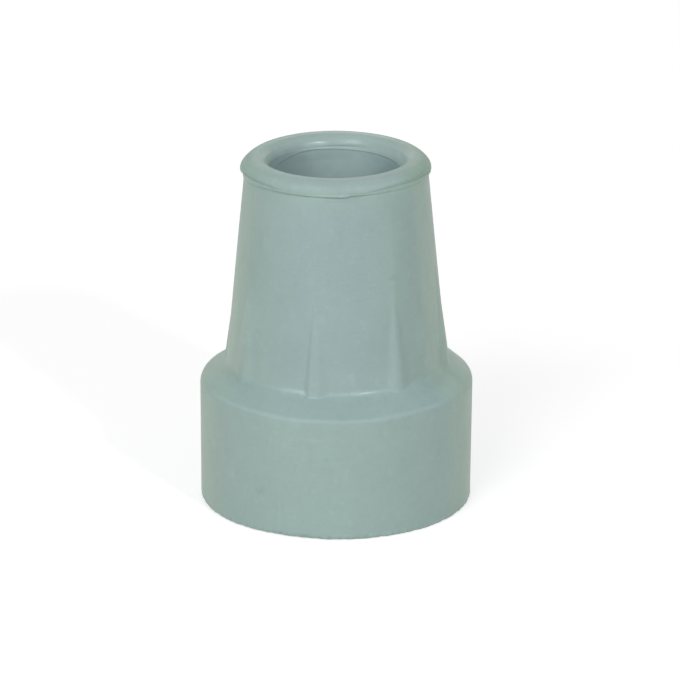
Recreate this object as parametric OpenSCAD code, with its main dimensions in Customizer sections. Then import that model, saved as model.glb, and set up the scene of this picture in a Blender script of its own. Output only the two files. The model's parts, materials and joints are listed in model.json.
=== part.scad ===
// Rubber tip for the foot of a walking cane: one moulding of solid rubber.
// A short round foot carries a tapered socket with eight ribs at its root and a rolled lip at its
// mouth. The cane's tube is pressed down the blind bore.
// Lengths are in millimetres. The sole rests on Z = 0 and the bore runs up the Z axis.

/* [Foot] */
// Diameter of the foot
foot_d = 38; // [34:0.5:44]
// Height of the foot's upright wall, up to the corner of the shoulder
foot_h = 17.5; // [12:0.5:22]
// Slope of the shoulder, in degrees from level
shoulder_slope = 37.5; // [20:0.5:50]
// Radius of the corner where the wall turns into the shoulder
shoulder_corner_r = 0.6; // [0.2:0.1:1.5]
// Radius of the corner around the sole
sole_corner_r = 0.4; // [0.2:0.1:1]

/* [Socket] */
// Total height, from the sole to the top of the lip
total_h = 49.8; // [46:0.2:56]
// Diameter of the socket at its root, where the shoulder's slope meets it
root_d = 30.8; // [28:0.1:33]
// Diameter of the socket just under the lip
neck_d = 25.5; // [24.6:0.1:25.9]
// Radius of the fillet between the shoulder and the socket
root_fillet_r = 1; // [0.4:0.1:2]

/* [Lip] */
// Largest diameter of the rolled lip
lip_d = 26.3; // [26:0.1:28]
// Radius of the lip's outer roll
lip_outer_r = 1.95; // [1.6:0.05:2.2]
// Radius of the lip's inner roll, down into the mouth
lip_inner_r = 1.8; // [1.4:0.05:1.9]
// Height of the lip, from its lower edge to its top
lip_h = 2.4; // [2.2:0.1:3]
// Radius of the lip's lower edge, where the mould parts
lip_edge_r = 0.3; // [0.1:0.05:0.4]

/* [Bore] */
// Diameter of the bore, which grips a cane tube of 19 mm
bore_d = 18.5; // [17:0.1:18.5]
// Thickness of the rubber under the bore
sole_t = 13.8; // [10:0.2:16]
// Radius of the corner around the bore's floor
floor_corner_r = 1; // [0.4:0.1:3]
// Height of the narrow band inside the mouth
mouth_band_h = 0.35; // [0.2:0.05:0.8]
// Depth of the step under that band
mouth_step = 0.2; // [0.1:0.05:0.3]
// Height of the taper from that step down to the bore
mouth_taper_h = 3.25; // [2:0.25:6]

/* [Ribs] */
// Number of ribs around the socket
rib_count = 8; // [4:1:12]
// Turn of the ribs about the axis, in degrees
rib_turn = -11.4; // [-45:0.1:45]
// Height above the sole at which a rib rises out of the socket
rib_top_z = 32.6; // [28:0.2:38]
// How far a rib stands out at the shoulder
rib_rise = 0.5; // [0.3:0.05:0.8]
// Width of a rib's flat crest
rib_crest_w = 1.1; // [0.8:0.1:2]
// Width that each flank gains for every millimetre that the rib stands out
rib_flank_run = 1.8; // [1:0.1:2.5]
// Radius along the two edges of a rib's crest
rib_crest_r = 0.4; // [0.2:0.05:0.6]

/* [Hidden] */
$fn = 96;

RUBBER = [0.61, 0.69, 0.68];

foot_r = foot_d / 2;
root_r = root_d / 2;
neck_r = neck_d / 2;
bore_r = bore_d / 2;

// Heights, from the sole up
root_z = foot_h + (foot_r - root_r) * tan(shoulder_slope);
lip_z = total_h - lip_h;

// The lip's two rolls meet at its top, on this radius
lip_top_r = lip_d / 2 - lip_outer_r;
mouth_r = lip_top_r - lip_inner_r;
mouth_band_top_z = total_h - lip_inner_r;
mouth_band_z = mouth_band_top_z - mouth_band_h;
bore_top_z = mouth_band_z - mouth_taper_h;

// The small round of the lip's lower edge lies inside the outer roll and touches it
lip_edge_z = lip_z + lip_edge_r;
lip_edge_drop = total_h - lip_outer_r - lip_edge_z;
lip_edge_x = lip_top_r + sqrt(pow(lip_outer_r - lip_edge_r, 2) - pow(lip_edge_drop, 2));

// Corners of the outer outline, as [radius, height]
SOLE = [foot_r, 0];
SHOULDER = [foot_r, foot_h];
ROOT = [root_r, root_z];
NECK = [neck_r, lip_z];

// A rib's crest runs from the socket's surface to rib_rise outside it at the shoulder
socket_draft = (root_r - neck_r) / (lip_z - root_z);
rib_top_r = root_r - (rib_top_z - root_z) * socket_draft;
rib_lean = atan((root_r + rib_rise - rib_top_r) / (rib_top_z - root_z));
rib_depth = 2;
rib_above = 2;
rib_below = 1.2;

// ---- Rounds on a corner b between the sides b-a and b-c ----

function unit(v) = v / norm(v);

function half_angle(a, b, c) = acos(unit(a - b) * unit(c - b)) / 2;

// Point on the side b-a at which a round of radius r starts
function touch(a, b, c, r) = b + unit(a - b) * r / tan(half_angle(a, b, c));

// Centre of the round
function centre(a, b, c, r) =
    b + unit(unit(a - b) + unit(c - b)) * r / sin(half_angle(a, b, c));

module round_at(a, b, c, r) {
    translate(centre(a, b, c, r)) circle(r);
}

// ---- Outline of the outside, from the axis out ----

module foot_and_socket_outline() {
    axis_low = [0, 0];
    difference() {
        union() {
            polygon([
                axis_low,
                touch(axis_low, SOLE, SHOULDER, sole_corner_r),
                touch(SHOULDER, SOLE, axis_low, sole_corner_r),
                touch(SOLE, SHOULDER, ROOT, shoulder_corner_r),
                touch(ROOT, SHOULDER, SOLE, shoulder_corner_r),
                touch(SHOULDER, ROOT, NECK, root_fillet_r),
                touch(NECK, ROOT, SHOULDER, root_fillet_r),
                NECK,
                [0, lip_z],
            ]);
            round_at(axis_low, SOLE, SHOULDER, sole_corner_r);
            round_at(SOLE, SHOULDER, ROOT, shoulder_corner_r);
        }
        round_at(SHOULDER, ROOT, NECK, root_fillet_r);
    }
}

module lip_outline() {
    // The outer roll, above the lower edge
    intersection() {
        translate([lip_top_r, total_h - lip_outer_r]) circle(lip_outer_r);
        translate([0, lip_edge_z]) square([lip_d, lip_h]);
    }
    // The lower edge
    translate([0, lip_z]) square([lip_edge_x, lip_edge_r]);
    translate([lip_edge_x, lip_edge_z]) circle(lip_edge_r);
    // From the axis out to the top of the roll
    translate([0, lip_z]) square([lip_top_r, lip_h]);
}

// ---- Outline of the bore and the mouth ----

module bore_outline() {
    low = [0, sole_t];
    corner = [bore_r, sole_t];
    wall_top = [bore_r, bore_top_z];
    polygon([
        low,
        touch(low, corner, wall_top, floor_corner_r),
        touch(wall_top, corner, low, floor_corner_r),
        wall_top,
        [mouth_r + mouth_step, mouth_band_z],
        [0, mouth_band_z],
    ]);
    round_at(low, corner, wall_top, floor_corner_r);
    translate([0, mouth_band_z]) square([mouth_r, mouth_band_h]);
    // The mouth opens over the lip's inner roll
    difference() {
        translate([0, mouth_band_top_z]) square([lip_top_r, lip_h]);
        translate([lip_top_r, mouth_band_top_z]) circle(lip_inner_r);
    }
}

// ---- One rib, on the +X side ----

module rib_section() {
    half = rib_crest_w / 2;
    foot_half = half + rib_depth * rib_flank_run;
    left_foot = [-rib_depth, -foot_half];
    left = [0, -half];
    right = [0, half];
    right_foot = [-rib_depth, foot_half];
    polygon([
        left_foot,
        touch(left_foot, left, right, rib_crest_r),
        touch(right, left, left_foot, rib_crest_r),
        touch(left, right, right_foot, rib_crest_r),
        touch(right_foot, right, left, rib_crest_r),
        right_foot,
    ]);
    round_at(left_foot, left, right, rib_crest_r);
    round_at(left, right, right_foot, rib_crest_r);
}

module rib() {
    translate([rib_top_r, 0, rib_top_z])
        rotate([0, -rib_lean, 0])
            translate([0, 0, -(rib_top_z - root_z) - rib_below])
                linear_extrude(height = rib_top_z - root_z + rib_below + rib_above)
                    rib_section();
}

module rubber_tip() {
    color(RUBBER) union() {
        rotate_extrude()
            difference() {
                union() {
                    foot_and_socket_outline();
                    lip_outline();
                }
                bore_outline();
            }
        for (i = [0 : rib_count - 1])
            rotate([0, 0, rib_turn + i * 360 / rib_count])
                rib();
    }
}

rubber_tip();
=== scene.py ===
# Rubber tip for the foot of a walking cane: the look of its one rubber moulding.
# The CAD model is the frame. One mesh, worked out ring by ring from the sole round to the floor of
# the bore, replaces its plain solid and adds the mould's parting line, the crease and the flash
# under the lip, the ledge inside the mouth, the soft ribs and the trimmed edge of the sole.
# Sizes are in millimetres and become metres when the mesh is made. An azimuth is in degrees
# around the Z axis, from the front, which is -Y, towards +X.
import json
import math

import bpy
import numpy as np
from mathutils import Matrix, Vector


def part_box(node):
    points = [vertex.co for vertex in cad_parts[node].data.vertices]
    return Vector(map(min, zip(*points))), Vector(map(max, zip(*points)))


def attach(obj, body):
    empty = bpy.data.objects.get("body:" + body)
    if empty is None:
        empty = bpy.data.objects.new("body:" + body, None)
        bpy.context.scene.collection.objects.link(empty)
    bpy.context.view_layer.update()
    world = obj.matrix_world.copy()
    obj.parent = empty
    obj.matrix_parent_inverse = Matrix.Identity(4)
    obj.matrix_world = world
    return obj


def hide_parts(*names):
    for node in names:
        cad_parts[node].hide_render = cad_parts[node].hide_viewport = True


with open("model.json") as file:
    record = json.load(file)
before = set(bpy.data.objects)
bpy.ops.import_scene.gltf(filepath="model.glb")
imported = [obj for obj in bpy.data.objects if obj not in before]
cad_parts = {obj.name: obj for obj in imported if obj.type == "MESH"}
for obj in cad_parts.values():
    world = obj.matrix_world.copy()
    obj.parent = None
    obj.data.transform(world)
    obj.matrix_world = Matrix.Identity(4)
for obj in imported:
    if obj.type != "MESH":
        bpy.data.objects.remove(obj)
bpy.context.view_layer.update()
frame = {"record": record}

MM = 0.001
NODE = "rubber_tip"

# ---- Sizes that the frame gives ----

node_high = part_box(NODE)[1]
FOOT_R = node_high.x / MM
TOTAL_H = node_high.z / MM
bore = next(m for m in frame["record"]["mounts"] if m["name"] == "bore")
BORE_R = bore["dims"]["r_mm"]
BORE_TOP_Z = bore["pos_m"][2] / MM + bore["dims"]["length_mm"] / 2
BORE_LOW_Z = bore["pos_m"][2] / MM - bore["dims"]["length_mm"] / 2

# ---- Outside of the moulding, from the sole up ----

SOLE_EDGE = 0.6
SOLE_WORN_AZ = -22
SOLE_WORN_WIDTH = 18
SOLE_WORN_SHARE = 0.8
SOLE_SHARP_ENDS = (20, 45, 90, 130)
SOLE_SHARP_SHARE = 0.45
SOLE_RIPPLE_PERIODS = (23, 41, 67, 89)
SOLE_RIPPLE_PHASES = (10, 70, 200, 140)
SOLE_RIPPLE_SHARE = 0.35
FOOT_SWELL = 0.11
FOOT_TAPER = 0.1
FOOT_H = 17.5
FOOT_LOW_Z = 2.5
SHOULDER_SLOPE = 37.5
SHOULDER_CORNER_R = 1.0
SHOULDER_SIDE_R = 1.5
SHOULDER_SIDE_POWER = 12
ROOT_R = 15.4
ROOT_Z = FOOT_H + (FOOT_R - ROOT_R) * math.tan(math.radians(SHOULDER_SLOPE))
ROOT_FILLET_R = 1.0
ROOT_TILT = 0.5
ROOT_LEFT_DROP = 0.25
ROOT_LEFT_AZ = -112
ROOT_LEFT_WIDTH = 25
ROOT_DIP = 0.28
ROOT_DIP_AZ = 5
ROOT_DIP_WIDTH = 28
NECK_R = 12.75
NECK_Z = 47.4
DRAFT = (ROOT_R - NECK_R) / (NECK_Z - ROOT_Z)

# ---- Ribs ----

RIB_COUNT = 8
RIB_TURN = -11.4
RIB_PITCH = 360 / RIB_COUNT
RIB_TOP_Z = 32.6
RIB_RISE = 0.5
RIB_CREST_WIDTHS = [1.5, 0.8, 1.2, 1.3, 1.4, 1.3, 1.2, 0.7]
RIB_TIP_W = 0.3
# How far each rib's flanks run out for their rise, on its left and on its right
RIB_LEFT_RUNS = [1.3, 2.3, 1.8, 1.8, 1.8, 1.8, 1.8, 2.8]
RIB_RIGHT_RUNS = [2.0, 3.0, 1.8, 1.8, 1.8, 1.8, 1.8, 3.0]
RIB_CREST_ROUND = 0.15
RIB_FOOT_ROUND = 0.12
RIBBED_TOP_Z = 34.5
# How much higher or lower each rib starts, from the first one round
RIB_TOP_SHIFTS = [-0.2, 0.7, 3.5, -0.3, 0.4, 0.0, -2.0, 1.6]
# How far each rib is turned from its even place
RIB_TURN_SHIFTS = [0.1, -0.1, 0, 0.3, -0.2, 0.3, 0, -0.4]

# ---- Lip ----

LIP_R = 13.15
LIP_SWELL = 0.18
LIP_SWELL_SIDE = (0.6, 1)
LIP_SWELL_FRONT = (-0.8, 0)
LIP_BACK_FLATNESS = 0.07
LIP_BEVEL = 0.06
LIP_TOP_R = 11.2
LIP_TOP_SHIFT = 0.4
LIP_TOP_SHIFT_SIDE = (-0.3, 0.6)
LIP_TOP_BACK_SHARE = 0.5
LIP_WIDEST_Z = 48.2
LIP_WIDEST_RISE = 0.45
LIP_INNER_R = 1.8
LIP_INNER_END = 152
LIP_CREASED_END = 173
PARTING_Z = 47.7
PARTING_LEFT_DIP = 0.8
PARTING_LEFT_POWER = 8
PARTING_RIGHT_DIP = 0.3
PARTING_RIGHT_POWER = 12
PARTING_MIDDLE_DIP = 0.06
PARTING_MIDDLE_AZ = 2
PARTING_MIDDLE_WIDTH = 6
BELOW_PARTING = 0.7
UNDERCUT = 0.03
UNDERCUT_FRONT = 0.11
UNDERCUT_FRONT_ENDS = (-32, -18, 10, 18)
UNDERCUT_BEND = 0.15
BAND_R = 13.03
MERGED_R = 13.08
BAND_EDGE = 0.08
BAND_FLARE = 0.04
CREASE_LEFT_Z = 48.15
CREASE_LEFT_RISE = 0.35
CREASE_LEFT_TURN = (0.55, 0.78)
CREASE_LEFT_DIP = 0.85
CREASE_LEFT_POWER = 60
CREASE_LEFT_FADE = (33, 45)
CREASE_RIGHT_Z = 48.25
CREASE_RIGHT_RISE = 0.18
CREASE_RIGHT_TURN = (0.4, 0.7)
CREASE_RIGHT_DIP = 0.9
CREASE_RIGHT_POWER = 40
CREASE_RIGHT_FADE = (10, 35)
CREASE_MERGED_Z = 48.05
MERGED_INSET = 0.03
CREASE_R = 12.97
CREASE_DEPTH = 0.065
CREASE_LEFT_DEPTH = 0.045
CREASE_HALF_W = 0.06
LEFT_END_POWER = 60
LEFT_END_DROP = 0.25
LEFT_END_RISE = 0.4
LEFT_END_NARROWING = 0.13
NICK_AZ = 7.1
NICK_STEP = 0.15
NICK_HALF_WIDTH = 0.8
NICK_FADE = (90, 150)

# ---- Mouth ----

LEDGE_TOP_Z = 48.09
LEDGE_TOP_R = 9.42
LEDGE_CREASE = 0.04
LEDGE_PLAIN_INSET = 0.03
LEDGE_CREASE_WIDTH = 26
LEDGE_R = 9.3
LEDGE_Z = 47.55
LEDGE_TILT = 0.3
LEDGE_LOW_AZ = 45
LEDGE_LEFT_DROP = 1.0
LEDGE_LEFT_ENDS = (-160, -110, -60, 0)
LEDGE_RIGHT_DROP = 0.25
LEDGE_RIGHT_ENDS = (-60, 0, 95, 130)
LEDGE_NARROWING = 0.1
LEDGE_NARROWING_POWER = 6
LEDGE_ROUND_ABOVE = 0.05
LEDGE_ROUND_BELOW = 0.06
LEDGE_TUCK = 0.02
LEDGE_EDGE_SHARE = 0.15
MOUTH_STEP_SHARE = 0.3
MOUTH_STEP_H = 0.3
MOUTH_STEP_R = 9.38
MOUTH_STEP_FADE = 0.12
MOUTH_STEP_POWER = 8
MOUTH_SHIFT = 0.07
BORE_CORNER_R = 1.0

# ---- Mesh ----

COLUMNS = 480
RIB_CROWDING = 0.5
POLE_R = 1.2


def azimuths():
    """Azimuth of each column of the mesh. They crowd together at the ribs."""
    pitches = np.arange(COLUMNS) * RIB_COUNT / COLUMNS
    turn = 2 * np.pi * pitches
    around = RIB_TURN + RIB_PITCH * (pitches - RIB_CROWDING * np.sin(turn) / (2 * np.pi))
    return (around + 180) % 360 - 180


AZ = azimuths()
SIDE = np.sin(np.radians(AZ))
FRONT = np.cos(np.radians(AZ))
# 0 at the front, rising to 1 at both sides and staying there round the back
TURN = np.where(FRONT > 0, np.abs(SIDE), 1)


# ---- Curves of the section. A point holds a radius and a height at every azimuth. ----


def mix(a, b, t):
    return a + (b - a) * t


def smooth_step(low, high, x):
    t = np.clip((x - low) / (high - low), 0, 1)
    return t * t * (3 - 2 * t)


def between(x, ends):
    """1 from the second end to the third, falling off to 0 at the first and at the last."""
    start, full, fall, gone = ends
    return smooth_step(start, full, x) * smooth_step(gone, fall, x)


def bump(x, centre, width):
    """1 at the centre, falling off smoothly to either side."""
    return np.exp(-(((x - centre) / width) ** 2))


def to_right(reach):
    """0 on the left and 1 on the right, changing as far as reach to either side of the middle."""
    return smooth_step(-reach, reach, SIDE)


def smooth_max(a, b, width):
    """The larger of a and b, rounded off where they are within width of each other."""
    near = np.maximum(width - np.abs(a - b), 0)
    return np.maximum(a, b) + near**2 / (4 * width)


def point(radius, height):
    return np.array([radius + 0 * AZ, height + 0 * AZ])


def line(start, end, rings):
    """Rings along a straight line, the last one just short of its end."""
    return [mix(start, end, i / rings) for i in range(rings)]


def bend(start, corner, end, rings):
    """Rings along a curve that leaves start towards the corner and reaches end from it."""
    steps = [i / rings for i in range(rings)]
    return [mix(mix(start, corner, t), mix(corner, end, t), t) for t in steps]


def arc(centre, across, up, first, last, rings, bevel=0):
    """Rings along an ellipse, at angles from first to last in degrees, 0 being outward.

    The bevel flattens its middle by that share of its size.
    """
    angles = [np.radians(mix(first, last, i / rings)) for i in range(rings)]
    sizes = [1 - bevel * np.sin(2 * t) ** 2 for t in angles]
    return [centre + k * point(across * np.cos(t), up * np.sin(t)) for k, t in zip(sizes, angles)]


def unit(v):
    return v / np.hypot(v[0], v[1])


def rounded(before, corner, after, radius):
    """Points where a round on the corner starts and ends."""
    back, on = unit(before - corner), unit(after - corner)
    half_angle = np.arccos((back * on).sum(0)) / 2
    reach = radius / np.tan(half_angle)
    return corner + back * reach, corner + on * reach


def ripple(periods, phases, x):
    """A gentle irregular wave between about -1 and 1, of a few sines around the part."""
    waves = [np.sin(np.radians(p * x + q)) for p, q in zip(periods, phases)]
    return sum(waves) / len(waves)


# ---- Stretches of the section ----


def socket_r(height):
    """Radius of the socket's plain cone at a height."""
    return ROOT_R - (height - ROOT_Z) * DRAFT


def foot_r(height):
    """Radius of the foot at a height. It narrows towards the sole on the right."""
    return FOOT_R + FOOT_SWELL - FOOT_TAPER * (1 + SIDE) * (1 - height / FOOT_H)


def shoulder_corner_r():
    """Radius of the shoulder's corner, which is softer at both sides."""
    return mix(SHOULDER_CORNER_R, SHOULDER_SIDE_R, SIDE**SHOULDER_SIDE_POWER)


def foot_rings():
    """The flat sole, its trimmed edge and the wall of the foot."""
    worn = SOLE_WORN_SHARE * bump(AZ, SOLE_WORN_AZ, SOLE_WORN_WIDTH)
    sharper = SOLE_SHARP_SHARE * between(AZ, SOLE_SHARP_ENDS)
    uneven = SOLE_RIPPLE_SHARE * ripple(SOLE_RIPPLE_PERIODS, SOLE_RIPPLE_PHASES, AZ)
    trim = SOLE_EDGE * (1 + worn - sharper + uneven)
    sole_end = point(foot_r(0) - trim, 0)
    wall_start = point(foot_r(trim), trim)
    wall_low = point(foot_r(FOOT_LOW_Z), FOOT_LOW_Z)
    shoulder_start, _ = rounded(point(foot_r(0), 0), SHOULDER, ROOT, shoulder_corner_r())
    return [
        *line(point(POLE_R, 0), sole_end, 5),
        *bend(sole_end, point(foot_r(0), 0), wall_start, 5),
        *line(wall_start, wall_low, 5),
        *line(wall_low, shoulder_start, 8),
    ]


def root_height():
    """Height of the socket's root: lower on the left, most at its back, and near the front."""
    dip = ROOT_DIP * bump(AZ, ROOT_DIP_AZ, ROOT_DIP_WIDTH)
    left_drop = ROOT_LEFT_DROP * bump(AZ, ROOT_LEFT_AZ, ROOT_LEFT_WIDTH)
    return ROOT_Z + ROOT_TILT * SIDE**3 - dip - left_drop


def shoulder_rings():
    """The shoulder with its corner, and the fillet at the socket's root."""
    start, slope_start = rounded(point(foot_r(0), 0), SHOULDER, ROOT, shoulder_corner_r())
    slope_end, end = rounded(SHOULDER, ROOT, point(NECK_R, NECK_Z), ROOT_FILLET_R)
    return [
        *bend(start, SHOULDER, slope_start, 6),
        *line(slope_start, slope_end, 12),
        *bend(slope_end, ROOT, end, 8),
    ]


def undercut_r(parting_z):
    """Radius of the fine undercut at the parting line, which is deepest near the front."""
    return socket_r(parting_z) - mix(UNDERCUT, UNDERCUT_FRONT, between(AZ, UNDERCUT_FRONT_ENDS))


def socket_rings(parting_z):
    """The socket, up to a fine undercut at the parting line."""
    _, start = rounded(SHOULDER, ROOT, point(NECK_R, NECK_Z), ROOT_FILLET_R)
    ribs_end = point(socket_r(RIBBED_TOP_Z), RIBBED_TOP_Z)
    below_z = parting_z - BELOW_PARTING
    below = point(socket_r(below_z), below_z)
    corner = point(socket_r(parting_z), parting_z - UNDERCUT_BEND)
    undercut = point(undercut_r(parting_z), parting_z)
    return [
        *line(start, ribs_end, 44),
        *line(ribs_end, below, 16),
        *bend(below, corner, undercut, 5),
    ]


def rib_r(height):
    """Radius of the ribs' surfaces at a height: flat crests between sloping flanks."""
    pitches = (AZ - RIB_TURN) / RIB_PITCH
    nearest = np.round(pitches).astype(int)
    rib = nearest % RIB_COUNT
    off = np.radians((pitches - nearest) * RIB_PITCH - np.array(RIB_TURN_SHIFTS)[rib])
    top_z = RIB_TOP_Z + np.array(RIB_TOP_SHIFTS)[rib]
    down = (top_z - height) / (RIB_TOP_Z - ROOT_Z)
    crest = socket_r(height) + down * RIB_RISE
    flat = crest / np.cos(off)
    run = np.where(off < 0, np.array(RIB_LEFT_RUNS)[rib], np.array(RIB_RIGHT_RUNS)[rib])
    width = mix(RIB_TIP_W, np.array(RIB_CREST_WIDTHS)[rib], np.sqrt(np.maximum(down, 0)))
    edge = crest + width / 2 / run
    flank = edge / (np.cos(off) + np.abs(np.sin(off)) / run)
    return -smooth_max(-flat, -flank, RIB_CREST_ROUND)


def ribbed(rings):
    """The same rings, pushed out to the ribs where those stand proud."""
    return [point(smooth_max(r, rib_r(z), RIB_FOOT_ROUND), z) for r, z in rings]


def parting_height():
    """The lip's lower edge. It dips at the sides and has a nick near the front."""
    nick_ends = (NICK_AZ - NICK_HALF_WIDTH, NICK_AZ + NICK_HALF_WIDTH, *NICK_FADE)
    step = NICK_STEP * between(AZ, nick_ends)
    left = PARTING_LEFT_DIP * TURN**PARTING_LEFT_POWER
    right = PARTING_RIGHT_DIP * TURN**PARTING_RIGHT_POWER
    middle = PARTING_MIDDLE_DIP * bump(AZ, PARTING_MIDDLE_AZ, PARTING_MIDDLE_WIDTH)
    return PARTING_Z - mix(left, right, to_right(0.3)) + step - middle


def left_end():
    """1 at the lip's left end, where the flash sinks into the socket and the roll reaches lower."""
    return np.maximum(-SIDE, 0) ** LEFT_END_POWER


def crease_height():
    """The crease between the flash and the roll. On the left it leaves the parting line."""
    left_rise = CREASE_LEFT_RISE * (smooth_step(*CREASE_LEFT_TURN, TURN) - 1)
    left_dip = CREASE_LEFT_DIP * TURN**CREASE_LEFT_POWER + LEFT_END_DROP * left_end()
    left = CREASE_LEFT_Z + left_rise - left_dip
    right_rise = CREASE_RIGHT_RISE * smooth_step(*CREASE_RIGHT_TURN, TURN)
    right = CREASE_RIGHT_Z + right_rise - CREASE_RIGHT_DIP * TURN**CREASE_RIGHT_POWER
    behind = mix(left, right, to_right(0.6))
    return np.where(FRONT < 0, behind, np.where(AZ < 0, left, right))


def crease_strength():
    """1 where the flash stands apart from the roll, 0 where the front runs smoothly into it."""
    return smooth_step(*CREASE_LEFT_FADE, -AZ) + smooth_step(*CREASE_RIGHT_FADE, AZ)


def lip_top_r():
    """Radius of the lip's highest line, which runs further in on the right."""
    shift = LIP_TOP_SHIFT * mix(LIP_TOP_BACK_SHARE, 1, smooth_step(-0.3, 0.3, FRONT))
    return LIP_TOP_R - shift * smooth_step(*LIP_TOP_SHIFT_SIDE, SIDE)


def lip_roll():
    """How far the roll stands out from the lip's highest line.

    It swells on the left and is a little flatter at the back, on both sides.
    """
    swell = LIP_SWELL * smooth_step(*LIP_SWELL_SIDE, -SIDE) * smooth_step(*LIP_SWELL_FRONT, FRONT)
    flatter = LIP_BACK_FLATNESS * (2 * SIDE * np.minimum(FRONT, 0)) ** 2
    return LIP_R + swell - flatter - lip_top_r()


def lip_rings(parting_z):
    """The underside of the lip, its flash, the crease and the roll over into the mouth."""
    creased = crease_strength()
    crease_z = mix(CREASE_MERGED_Z, crease_height(), creased)
    rise = LIP_WIDEST_RISE + LEFT_END_RISE * left_end()
    widest_z = mix(LIP_WIDEST_Z, crease_z + rise, creased)
    narrower = LEFT_END_NARROWING * left_end()
    band_r = mix(MERGED_R, BAND_R, creased) - narrower
    top_r = mix(LIP_R - MERGED_INSET, CREASE_R, creased) - narrower
    depth = mix(CREASE_LEFT_DEPTH, CREASE_DEPTH, to_right(0.2))
    undercut = point(undercut_r(parting_z), parting_z)
    edge = point(band_r, parting_z)
    band_start = point(band_r, parting_z + BAND_EDGE)
    band_end = point(mix(top_r, band_r + BAND_FLARE, creased), crease_z - CREASE_HALF_W)
    crease = point(top_r - depth * creased, crease_z)
    lip_r = lip_top_r()
    roll = lip_roll()
    bevel = LIP_BEVEL * smooth_step(0.3, -0.3, FRONT)
    under_angle = -np.degrees(np.arccos((top_r - lip_r) / roll))
    under_drop = (widest_z - crease_z - CREASE_HALF_W) / np.sin(np.radians(-under_angle))
    centre = point(lip_r, widest_z)
    roll_start = point(top_r, crease_z + CREASE_HALF_W)
    inner_r = lip_r - LEDGE_TOP_R + MOUTH_SHIFT * SIDE
    inner_centre = point(lip_r, TOTAL_H - LIP_INNER_R)
    inner_end = mix(LIP_INNER_END, LIP_CREASED_END, ledge_crease())
    return [
        *line(undercut, point(band_r - BAND_EDGE, parting_z), 4),
        *bend(point(band_r - BAND_EDGE, parting_z), edge, band_start, 4),
        *line(band_start, band_end, 4),
        *bend(band_end, crease, roll_start, 5),
        *arc(centre, roll, under_drop, under_angle, 0, 5),
        *arc(centre, roll, TOTAL_H - widest_z, 0, 90, 16, bevel),
        *arc(inner_centre, inner_r, LIP_INNER_R, 90, inner_end, 16),
    ]


def ledge_crease():
    """1 behind the mouth, where a crease parts the ledge from the roll, 0 towards its sides."""
    return bump(np.abs(AZ), 180, LEDGE_CREASE_WIDTH)


def ledge_height():
    """Height of the ledge's lower edge, which drops away at both sides."""
    tilted = LEDGE_Z + LEDGE_TILT * np.cos(np.radians(AZ + 180 - LEDGE_LOW_AZ))
    left = LEDGE_LEFT_DROP * between(AZ, LEDGE_LEFT_ENDS)
    right = LEDGE_RIGHT_DROP * between(AZ, LEDGE_RIGHT_ENDS)
    return tilted - right - left


def mouth_step_r():
    """Radius of the step under the ledge, which fades away at both sides."""
    return MOUTH_STEP_R - MOUTH_STEP_FADE * SIDE**MOUTH_STEP_POWER - MOUTH_SHIFT * SIDE


def mouth_wall():
    """Where the step under the ledge ends and the taper down into the bore begins."""
    return point(mouth_step_r() - LEDGE_TUCK, ledge_height() - MOUTH_STEP_H)


def mouth_rings():
    """The sloping ledge inside the mouth, with a crease above it at the back, and its step."""
    ledge_z = ledge_height()
    shift = MOUTH_SHIFT * SIDE
    creased = ledge_crease()
    narrowing = LEDGE_NARROWING * np.maximum(SIDE, 0) ** LEDGE_NARROWING_POWER
    plain_r = LEDGE_TOP_R - shift
    top = point(plain_r + LEDGE_PLAIN_INSET * (1 - creased), LEDGE_TOP_Z + LEDGE_ROUND_ABOVE)
    crease = point(plain_r + LEDGE_CREASE * creased, LEDGE_TOP_Z)
    ledge_start = point(plain_r - LEDGE_TUCK, LEDGE_TOP_Z - LEDGE_ROUND_BELOW)
    edge = point(LEDGE_R - narrowing - shift, ledge_z)
    step = point(mouth_step_r(), ledge_z - LEDGE_ROUND_BELOW)
    edge_start = mix(edge, ledge_start, LEDGE_EDGE_SHARE)
    step_start = mix(edge, step, MOUTH_STEP_SHARE)
    return [
        *bend(top, crease, ledge_start, 4),
        *line(ledge_start, edge_start, 4),
        *bend(edge_start, edge, step_start, 4),
        *bend(step_start, step, mouth_wall(), 4),
    ]


def bore_rings():
    """The taper down into the bore, its wall and its floor."""
    wall_top = point(BORE_R, BORE_TOP_Z)
    wall_low = point(BORE_R, BORE_LOW_Z)
    floor_z = BORE_LOW_Z - BORE_CORNER_R
    floor_edge = point(BORE_R - BORE_CORNER_R, floor_z)
    return [
        *line(mouth_wall(), wall_top, 6),
        *line(wall_top, wall_low, 8),
        *bend(wall_low, point(BORE_R, floor_z), floor_edge, 5),
        *line(floor_edge, point(POLE_R, floor_z), 4),
        point(POLE_R, floor_z),
    ]


SHOULDER = point(foot_r(FOOT_H), FOOT_H)
ROOT = point(ROOT_R, root_height())


def section_rings():
    """Every ring of the moulding, from the middle of the sole to the middle of the bore's floor."""
    parting_z = parting_height()
    return np.array([
        *foot_rings(),
        *ribbed(shoulder_rings()),
        *ribbed(socket_rings(parting_z)),
        *lip_rings(parting_z),
        *mouth_rings(),
        *bore_rings(),
    ])


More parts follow.
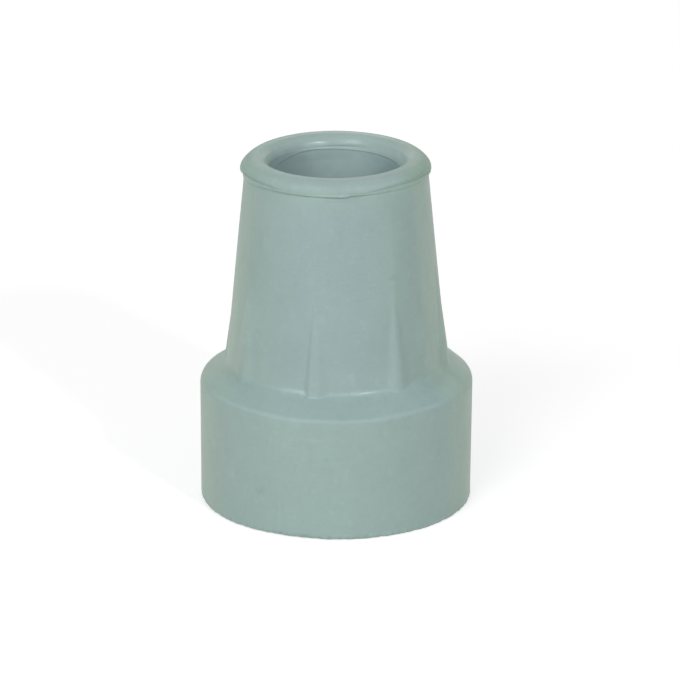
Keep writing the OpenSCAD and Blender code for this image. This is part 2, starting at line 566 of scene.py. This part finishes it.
def moulding_mesh():
    """One closed mesh of quads between the rings, with a fan of triangles at each pole."""
    rings = section_rings()
    radius, height = rings[:, 0], rings[:, 1]
    grid = np.stack([radius * SIDE, -radius * FRONT, height], axis=2)
    low_pole, high_pole = (0, 0, grid[0, 0, 2]), (0, 0, grid[-1, 0, 2])
    verts = np.vstack([grid.reshape(-1, 3), low_pole, high_pole]) * MM
    at = np.arange(len(rings) * COLUMNS).reshape(len(rings), COLUMNS)
    on = np.roll(at, -1, axis=1)
    quads = np.stack([at[:-1], on[:-1], on[1:], at[1:]], axis=2).reshape(-1, 4)
    low, high = at.size, at.size + 1
    fans = [(low, b, a) for a, b in zip(at[0], on[0])]
    fans += [(high, a, b) for a, b in zip(at[-1], on[-1])]
    mesh = bpy.data.meshes.new("moulding")
    mesh.from_pydata(verts.tolist(), [], quads.tolist() + fans)
    mesh.shade_smooth()
    mesh.update()
    return mesh


# ---- Materials ----


def node(tree, kind, inputs=(), **settings):
    """Adds a node. Each input pairs a socket's name or number with a value or an output to link."""
    made = tree.nodes.new(kind)
    for name, value in settings.items():
        setattr(made, name, value)
    for socket, value in inputs:
        if isinstance(value, bpy.types.NodeSocket):
            tree.links.new(value, made.inputs[socket])
        else:
            made.inputs[socket].default_value = value
    return made


def calc(tree, operation, *values):
    """Output of a math node."""
    return node(tree, "ShaderNodeMath", enumerate(values), operation=operation).outputs[0]


RUBBER = (0.333, 0.447, 0.419, 1)
SPECULAR = 0.4
ROUGHNESS = 0.44
GLOSSY = 0.28
GLOSSIEST = 0.285
LIP_ROUGHER = 0.12

# A place's height or azimuth is a centre, how far its full effect reaches from it and where it ends.
# A pair of radii, heights or noise values says where an effect starts and where it is full.
ROOT_GLOSS_HEIGHT = (20.2, 0.5, 1.3)
ROOT_GLOSS_AZIMUTH = (-3, 25, 45)
MOUTH_GLOSS_AZIMUTH = (180, 80, 115)
MOUTH_GLOSS_R = (11.4, 10.6)
MOUTH_GLOSS_Z = (48.3, 48.6)
LIP_ROUGH_R = (11.4, 12.2)
LIP_ROUGH_Z = (47.8, 48.4)
# Scale in waves per millimetre, offset and share of each noise in the roughness
GLOSS_NOISES = [
    ((0.3, 0.3, 0.25), (6, 6, 3), 0.03),
    ((2.2, 2.2, 2.0), (8, 2, 4), 0.03),
]
# The same in the brightness: mottling from broad to fine, and then fine level streaks
SHADE_NOISES = [
    ((0.16, 0.16, 0.13), (0, 0, 0), 0.018),
    ((0.45, 0.45, 0.4), (7, 3, 1), 0.014),
    ((1.3, 1.3, 1.1), (2, 8, 5), 0.012),
    ((4.5, 4.5, 4.0), (4, 1, 9), 0.014),
    ((0.5, 0.5, 2.6), (1, 5, 2), 0.008),
]
SPECK_SCALE = (0.75, 0.75, 0.75)
DARK_SPECKS = (0.65, 1.0)
DARK_SPECK_SHADE = -0.025
PALE_SPECKS = (-0.7, -1.0)
PALE_SPECK_SHADE = 0.035
# Fine cuts in the trimmed edge of the sole
TRIMMED_Z = (1.1, 0.35)
CUT_SCALE = (1.6, 1.6, 0.3)
CUT_SHADE = 0.12
INSIDE_R = (10.9, 9.5)
MOUTH_Z = (46.9, 47.7)
# The tints of the outside come out weaker or stronger from patch to patch
PATCH_SCALE = (0.14, 0.14, 0.1)
PATCH_SHARES = (0.7, 1.1)
BUMP_STRENGTH = 0.5
BUMP_HEIGHT = 0.003
GRAIN_SCALE = (1.5, 1.5, 1.5)
GRAIN_SHARE = 0.5
WAVE_SCALE = (0.4, 0.4, 0.35)
WAVE_SHARE = 4

# Places where the rubber is tinted: the zone they are in, their tint, their height and their azimuth.
# Many are painted light and painted shade, as the comments above them say.
ALL_HEIGHTS = (30, 40, 50)
ALL_ROUND = (0, 180, 190)
PLACES = [
    # Painted light and a bluer tone all round the bore, more painted light on its back wall, painted
    # shade on its left and right sides, and painted shade under the ledge at the back left.
    ("bore", (1.07, 1.06, 1.14, 1), ALL_HEIGHTS, ALL_ROUND),
    ("bore", (1.08, 1.07, 1.04, 1), ALL_HEIGHTS, (180, 20, 55)),
    ("bore", (0.9, 0.9, 0.9, 1), ALL_HEIGHTS, (-138, 10, 30)),
    ("bore", (0.93, 0.94, 0.95, 1), ALL_HEIGHTS, (128, 12, 35)),
    ("bore", (0.92, 0.92, 0.92, 1), (47.0, 0.5, 1.0), (-164, 14, 36)),
    # Painted light on the ledge and inner roll at the back, painted shade at the mouth's left end and
    # back left, painted light on the inner roll's left side and at the right end, and a painted
    # highlight on the inner roll at the back left.
    ("mouth", (1.13, 1.11, 1.15, 1), ALL_HEIGHTS, (180, 85, 115)),
    ("mouth", (0.88, 0.9, 0.91, 1), (47.7, 0.5, 1.1), (-118, 12, 28)),
    ("mouth", (0.9, 0.9, 0.91, 1), (48.0, 0.35, 0.7), (-147, 9, 22)),
    ("mouth", (1.15, 1.13, 1.04, 1), (48.9, 0.5, 1.0), (-97, 8, 17)),
    ("mouth", (1.1, 1.1, 1.07, 1), (47.9, 0.8, 1.3), (94, 14, 32)),
    ("mouth", (1.2, 1.2, 1.19, 1), (48.45, 0.15, 0.5), (-162, 5, 16)),
    ("outside", (0.955, 0.945, 0.995, 1), (33, 10, 15), (-3, 16, 42)),
    # Painted shade on the socket to the right of the rib at 34 degrees.
    ("outside", (0.945, 0.955, 0.935, 1), (33, 10, 15), (45, 8, 12)),
    ("outside", (0.965, 0.985, 1.03, 1), (18.9, 1.2, 2.2), (8, 26, 48)),
    ("outside", (0.96, 1.0, 1.03, 1), (18.9, 1.2, 2.4), (-62, 14, 30)),
    ("outside", (0.95, 0.99, 1.01, 1), (18.9, 1.2, 2.4), (62, 14, 30)),
    # Painted sheen, lighter and warmer, down the left and right sides.
    ("outside", (1.01, 1.02, 0.94, 1), (24, 22, 26), (-88, 22, 40)),
    ("outside", (1.08, 1.08, 0.985, 1), (24, 22, 26), (92, 26, 44)),
    # Painted shade on the foot's right side, then painted light down the socket's left edge.
    ("outside", (0.95, 0.965, 0.965, 1), (8, 9, 10.5), (84, 18, 27)),
    ("outside", (1.07, 1.06, 1.04, 1), (27, 6, 10), (-94, 18, 31)),
    ("outside", (0.975, 0.975, 0.98, 1), (9, 7, 10), (18, 12, 26)),
    # Painted shade on the lip's left side.
    ("outside", (0.96, 1.0, 0.95, 1), (49, 1, 1.8), (-98, 40, 70)),
    ("outside", (0.97, 0.94, 0.94, 1), (49, 1, 1.8), (-145, 12, 30)),
    # Painted shade along the lip's outer edge at its left end, along the top of its front edge, and on
    # its right side.
    ("outside", (0.91, 0.955, 0.93, 1), (49.7, 0.15, 0.4), (-104, 16, 30)),
    ("outside", (0.87, 0.87, 0.87, 1), (49.8, 0.07, 0.25), (12, 18, 55)),
    ("outside", (0.87, 0.93, 0.83, 1), (49, 1, 1.8), (95, 35, 65)),
    # Painted shade across the socket's front, and just under the parting line at the front.
    ("outside", (0.965, 0.968, 0.975, 1), (35, 10, 14), (-5, 50, 62)),
    ("outside", (0.95, 0.95, 0.955, 1), (47.3, 0.25, 0.6), (5, 5, 16)),
    # Painted light on the flash, crease and parting line on the right, lightening their shade.
    ("outside", (1.08, 1.08, 1.07, 1), (47.95, 0.6, 0.9), (54, 14, 22)),
    ("outside", (1.12, 1.12, 1.1, 1), (47.66, 0.12, 0.3), (30, 10, 16)),
    # Painted shade dimming the highlight on the front of the roll.
    ("outside", (0.965, 0.97, 0.98, 1), (48.55, 0.1, 0.4), (8, 20, 40)),
    ("outside", (1.005, 1.005, 1.03, 1), (49.4, 0.35, 0.8), (8, 30, 55)),
    # Painted highlight on the flash band just above the parting line at the front.
    ("outside", (1.07, 1.07, 1.06, 1), (48.0, 0.12, 0.3), (-4, 7, 13)),
    # Painted highlights along the shoulder's edge.
    ("outside", (1.08, 1.07, 1.07, 1), (17.6, 0.05, 0.33), (-45, 14, 25)),
    ("outside", (1.08, 1.08, 1.07, 1), (17.68, 0.05, 0.33), (35, 10, 22)),
]

# Marks, painted highlights and painted shade on the outside: azimuth, height, half width and half
# height in mm, and how much lighter. The painted ones are noted above them.
MARKS_AND_PAINTED_LIGHT = [
    (-32.8, 6.2, 1.0, 0.9, -0.09),
    (-50.8, 7.2, 1.3, 1.1, 0.05),
    (-52.0, 10.6, 0.9, 0.7, -0.03),
    (-15.8, 5.8, 0.5, 0.6, -0.03),
    (-21.6, 7.4, 0.4, 0.5, -0.04),
    (-4.2, 11.9, 0.5, 0.5, -0.05),
    (-18.5, 12.8, 1.2, 0.4, -0.03),
    (-12.0, 14.6, 2.2, 0.3, 0.03),
    (33.0, 15.6, 0.9, 0.5, -0.03),
    (4.0, 9.6, 0.3, 0.3, 0.05),
    (23.0, 9.6, 0.5, 0.8, 0.03),
    (-44.6, 39.7, 1.2, 0.9, 0.05),
    (-45.5, 37.8, 0.3, 0.3, -0.06),
    (3.0, 41.0, 0.4, 1.4, -0.03),
    (13.0, 39.0, 1.0, 0.15, -0.05),
    (14.0, 36.8, 0.9, 0.2, -0.04),
    (7.2, 35.3, 0.5, 0.3, -0.06),
    (33.0, 35.7, 1.1, 0.5, -0.07),
    (34.0, 35.0, 0.8, 0.4, 0.05),
    (21.5, 34.8, 0.6, 0.15, -0.06),
    (21.5, 35.2, 0.7, 0.15, 0.05),
    (16.0, 33.2, 2.4, 0.2, -0.03),
    # Painted highlight at the top end of the rib at -11 degrees.
    (-11.3, 32.0, 0.25, 0.35, 0.07),
    (46.0, 35.8, 0.3, 0.5, 0.05),
    (48.5, 29.6, 0.3, 0.3, -0.06),
    (-24.3, 3.6, 0.3, 3.4, 0.045),
    # Painted highlight at the nick in the parting line.
    (4.6, 47.98, 0.8, 0.2, 0.09),
    # Painted highlights along the fillet at the socket's root.
    (-21.5, 20.2, 3.0, 0.5, 0.08),
    (-17.0, 20.15, 0.8, 0.45, 0.09),
    (3.0, 20.2, 1.4, 0.35, 0.05),
    (12.0, 20.2, 1.8, 0.45, 0.08),
    (8.0, 19.9, 7.0, 0.6, 0.03),
    # Painted shade at the socket's root beside the rib at -56 degrees, and at that rib's foot.
    (-60, 19.7, 3.5, 1.0, -0.06),
    (-56.5, 21.5, 0.9, 1.6, -0.05),
    # Painted light down that rib and beside it.
    (-57.0, 29.5, 0.5, 6.0, 0.045),
    (-53.5, 29.5, 2.0, 4.5, 0.04),
    # Painted light down the rib at 34 degrees; then a lighter patch, then painted shade beside the rib
    # at 79 degrees and at the root on the right.
    (33.2, 28.0, 0.5, 4.5, 0.035),
    (50.5, 28.0, 1.5, 4.0, 0.045),
    (72.5, 21.3, 1.4, 3.6, -0.075),
    (57, 19.9, 3.5, 1.0, -0.06),
]
MARK_WOBBLE_SCALE = (0.9, 0.9, 0.9)
MARK_WOBBLE = 0.35
# Where a mark starts and where it is full, as shares of its half width and half height
MARK_ENDS = (1.2, 0.3)


def ranged(tree, value, low, high, to_low=0, to_high=1, smooth=True):
    """Output that goes from to_low to to_high as value goes from low to high."""
    kind = "SMOOTHSTEP" if smooth else "LINEAR"
    ends = [("Value", value), ("From Min", low), ("From Max", high)]
    ends += [("To Min", to_low), ("To Max", to_high)]
    return node(tree, "ShaderNodeMapRange", ends, interpolation_type=kind).outputs[0]


def near(tree, value, centre, full, none):
    """1 where value is within full of the centre, falling to 0 at none. Angles go round at 180."""
    away = calc(tree, "WRAP", calc(tree, "SUBTRACT", value, centre), 180, -180)
    return ranged(tree, calc(tree, "ABSOLUTE", away), full, none, 1, 0)


def vector(tree, operation, a, b):
    return node(tree, "ShaderNodeVectorMath", [(0, a), (1, b)], operation=operation).outputs[0]


def noise(tree, place, scale, detail=2.0, offset=(0, 0, 0)):
    """Noise from about -1 to 1. The scale is in waves per millimetre along X, Y and Z."""
    moved = vector(tree, "ADD", vector(tree, "MULTIPLY", place, scale), offset)
    made = node(tree, "ShaderNodeTexNoise", [("Vector", moved), ("Scale", 1.0), ("Detail", detail)])
    return ranged(tree, made.outputs[0], 0.3, 0.7, -1, 1, smooth=False)


def tinted(tree, colour, tint, factor):
    """The colour multiplied by the tint, as far as the factor says."""
    inputs = [(0, factor), (6, colour), (7, tint)]
    made = node(tree, "ShaderNodeMix", inputs, data_type="RGBA", blend_type="MULTIPLY")
    return made.outputs[2]


def plus(tree, total, value, share):
    """The total with a share of the value added."""
    return calc(tree, "MULTIPLY_ADD", value, share, total)


def surface_places(tree):
    """Position in millimetres, distance from the axis, azimuth in degrees, and height."""
    where = node(tree, "ShaderNodeTexCoord").outputs["Object"]
    place = vector(tree, "MULTIPLY", where, (1 / MM, 1 / MM, 1 / MM))
    x, y, z = node(tree, "ShaderNodeSeparateXYZ", [(0, place)]).outputs
    flat = vector(tree, "MULTIPLY", place, (1, 1, 0))
    across = node(tree, "ShaderNodeVectorMath", [(0, flat)], operation="LENGTH").outputs["Value"]
    turn = calc(tree, "ARCTAN2", x, calc(tree, "MULTIPLY", y, -1))
    return place, across, calc(tree, "DEGREES", turn), z


def plus_noises(tree, place, total, noises):
    """The total with each of the noises added."""
    for scale, offset, share in noises:
        total = plus(tree, total, noise(tree, place, scale, offset=offset), share)
    return total


def marks_and_painted_light(tree, place, azimuth, height, total):
    """Adds the marks, painted highlights and painted shade, each an uneven spot or streak, to the
    total.
    """
    wobble = noise(tree, place, MARK_WOBBLE_SCALE, 3)
    spot = node(tree, "ShaderNodeCombineXYZ", [(0, azimuth), (1, height)]).outputs[0]
    for at, z, half_w, half_h, lighter in MARKS_AND_PAINTED_LIGHT:
        mm_per_degree = math.radians(FOOT_R if z < FOOT_H else socket_r(z))
        size = (mm_per_degree / half_w, 1 / half_h, 0)
        away = vector(tree, "MULTIPLY", vector(tree, "SUBTRACT", spot, (at, z, 0)), size)
        reach = node(tree, "ShaderNodeVectorMath", [(0, away)], operation="LENGTH").outputs["Value"]
        uneven = plus(tree, reach, wobble, MARK_WOBBLE)
        total = plus(tree, total, ranged(tree, uneven, *MARK_ENDS), lighter)
    return total


def shade(tree, place, azimuth, height):
    """Brightness of the rubber: mottling, grain, specks, streaks, marks, painted highlights, painted
    shade and the trimmed edge.
    """
    total = plus_noises(tree, place, 1.0, SHADE_NOISES)
    specks = noise(tree, place, SPECK_SCALE, 1, offset=(11, 4, 6))
    total = plus(tree, total, ranged(tree, specks, *DARK_SPECKS), DARK_SPECK_SHADE)
    total = plus(tree, total, ranged(tree, specks, *PALE_SPECKS), PALE_SPECK_SHADE)
    trimmed = ranged(tree, height, *TRIMMED_Z)
    cuts = noise(tree, place, CUT_SCALE, 3, offset=(3, 9, 7))
    total = plus(tree, total, calc(tree, "MULTIPLY", trimmed, cuts), CUT_SHADE)
    return marks_and_painted_light(tree, place, azimuth, height, total)


def zones(tree, place, across, height):
    """How far each point belongs to the bore, to the ring inside the mouth and to the outside."""
    inside = ranged(tree, across, *INSIDE_R)
    mouth = calc(tree, "MULTIPLY", inside, ranged(tree, height, *MOUTH_Z))
    patches = noise(tree, place, PATCH_SCALE, 3)
    patchy = ranged(tree, patches, -1, 1, *PATCH_SHARES, smooth=False)
    return {
        "bore": calc(tree, "SUBTRACT", inside, mouth),
        "mouth": mouth,
        "outside": calc(tree, "MULTIPLY", calc(tree, "SUBTRACT", 1, inside), patchy),
    }


def rubber_colour(tree, place, across, azimuth, height):
    """The rubber's colour with its tinted places, many of them painted light and painted shade, and
    its brightness.
    """
    within = zones(tree, place, across, height)
    colour = RUBBER
    for zone, tint, at_height, at_azimuth in PLACES:
        here = calc(tree, "MULTIPLY", near(tree, height, *at_height), near(tree, azimuth, *at_azimuth))
        colour = tinted(tree, colour, tint, calc(tree, "MULTIPLY", here, within[zone]))
    return tinted(tree, colour, shade(tree, place, azimuth, height), 1.0)


def rubber_roughness(tree, place, across, azimuth, height):
    """Matt where hands and floors rub it, glossier in the root and at the back of the mouth."""
    at_root = near(tree, height, *ROOT_GLOSS_HEIGHT)
    root = calc(tree, "MULTIPLY", at_root, near(tree, azimuth, *ROOT_GLOSS_AZIMUTH))
    within = ranged(tree, across, *MOUTH_GLOSS_R)
    mouth = calc(tree, "MULTIPLY", within, ranged(tree, height, *MOUTH_GLOSS_Z))
    mouth = calc(tree, "MULTIPLY", mouth, near(tree, azimuth, *MOUTH_GLOSS_AZIMUTH))
    glossy = calc(tree, "MAXIMUM", root, mouth)
    rough = ranged(tree, glossy, 0, 1, ROUGHNESS, GLOSSY, smooth=False)
    above = ranged(tree, height, *LIP_ROUGH_Z)
    roll = calc(tree, "MULTIPLY", above, ranged(tree, across, *LIP_ROUGH_R))
    rough = plus(tree, rough, roll, LIP_ROUGHER)
    rough = plus_noises(tree, place, rough, GLOSS_NOISES)
    return calc(tree, "MAXIMUM", rough, GLOSSIEST)


def rubber():
    material = bpy.data.materials.new("grey_green_rubber")
    material.use_nodes = True
    tree = material.node_tree
    place, across, azimuth, height = surface_places(tree)
    grain = noise(tree, place, GRAIN_SCALE, 1, offset=(9, 7, 1))
    waves = noise(tree, place, WAVE_SCALE, 1, offset=(2, 4, 7))
    relief = plus(tree, plus(tree, 0, grain, GRAIN_SHARE), waves, WAVE_SHARE)
    ends = [("Strength", BUMP_STRENGTH), ("Distance", BUMP_HEIGHT * MM), ("Height", relief)]
    normal = node(tree, "ShaderNodeBump", ends).outputs[0]
    colour = rubber_colour(tree, place, across, azimuth, height)
    roughness = rubber_roughness(tree, place, across, azimuth, height)
    shader = tree.nodes["Principled BSDF"]
    tree.links.new(colour, shader.inputs["Base Color"])
    tree.links.new(roughness, shader.inputs["Roughness"])
    tree.links.new(normal, shader.inputs["Normal"])
    shader.inputs["Specular IOR Level"].default_value = SPECULAR
    return material


# ---- Stage ----

LAMPS = {
    "left": dict(azimuth=-29, elevation=30, distance=1.1, size=0.75, power=5.05),
    "right": dict(azimuth=31, elevation=30, distance=1.1, size=0.09, power=2.7),
    "back": dict(azimuth=180, elevation=45, distance=1.1, size=0.5, power=1.1),
}
AMBIENT = 0.355
FLOOR_GLOW = 0.5


def towards(azimuth, elevation):
    """Direction from the part towards an azimuth and an elevation."""
    a, e = math.radians(azimuth), math.radians(elevation)
    return Vector((math.sin(a) * math.cos(e), -math.cos(a) * math.cos(e), math.sin(e)))


def make_lamp(name, azimuth, elevation, distance, size, power):
    data = bpy.data.lights.new(name, "AREA")
    data.shape = "DISK"
    data.size = size
    data.energy = power
    lamp = bpy.data.objects.new(name, data)
    direction = towards(azimuth, elevation)
    lamp.location = direction * distance
    lamp.rotation_euler = direction.to_track_quat("Z", "Y").to_euler()
    bpy.context.scene.collection.objects.link(lamp)


def plainly_seen(tree):
    """1 for camera, glossy and transmission rays, which see a plain white surround."""
    path = tree.nodes.new("ShaderNodeLightPath").outputs
    seen = calc(tree, "MAXIMUM", path["Is Camera Ray"], path["Is Glossy Ray"])
    return calc(tree, "MAXIMUM", seen, path["Is Transmission Ray"])


def make_world():
    world = bpy.data.worlds.new("studio")
    world.use_nodes = True
    tree = world.node_tree
    background = tree.nodes["Background"]
    background.inputs["Color"].default_value = (1, 1, 1, 1)
    strength = node(tree, "ShaderNodeMapRange", [("Value", plainly_seen(tree)), ("To Min", AMBIENT)])
    tree.links.new(strength.outputs[0], background.inputs["Strength"])
    bpy.context.scene.world = world


def floor_material():
    material = bpy.data.materials.new("pale_floor")
    material.use_nodes = True
    tree = material.node_tree
    tree.nodes.clear()
    white = node(tree, "ShaderNodeBsdfDiffuse", [("Color", (0.8, 0.8, 0.8, 1))])
    glow = calc(tree, "MULTIPLY", plainly_seen(tree), FLOOR_GLOW)
    lit = node(tree, "ShaderNodeEmission", [("Strength", glow)])
    both = node(tree, "ShaderNodeAddShader", [(0, white.outputs[0]), (1, lit.outputs[0])])
    node(tree, "ShaderNodeOutputMaterial", [("Surface", both.outputs[0])])
    return material


def make_floor():
    reach = 3.0
    mesh = bpy.data.meshes.new("floor")
    corners = [(-reach, -reach, 0), (reach, -reach, 0), (reach, reach, 0), (-reach, reach, 0)]
    mesh.from_pydata(corners, [], [(0, 1, 2, 3)])
    mesh.materials.append(floor_material())
    floor = bpy.data.objects.new("floor", mesh)
    bpy.context.scene.collection.objects.link(floor)


CAMERA_ELEVATION = 19.4
CAMERA_DISTANCE = 0.656
CAMERA_LENS = 248
CAMERA_TARGET = Vector((0.505, 0, 22.64)) * MM


def make_camera():
    data = bpy.data.cameras.new("camera")
    data.lens = CAMERA_LENS
    camera = bpy.data.objects.new("camera", data)
    direction = towards(0, CAMERA_ELEVATION)
    camera.location = CAMERA_TARGET + direction * CAMERA_DISTANCE
    camera.rotation_euler = direction.to_track_quat("Z", "Y").to_euler()
    bpy.context.scene.collection.objects.link(camera)
    bpy.context.scene.camera = camera


def make_moulding():
    piece = bpy.data.objects.new("moulding", moulding_mesh())
    bpy.context.scene.collection.objects.link(piece)
    piece.data.materials.append(rubber())
    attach(piece, "root")
    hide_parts(NODE)


make_camera()
make_moulding()
make_floor()
make_world()
for name, lamp in LAMPS.items():
    make_lamp(name, **lamp)
bpy.context.scene.view_settings.view_transform = "Standard"
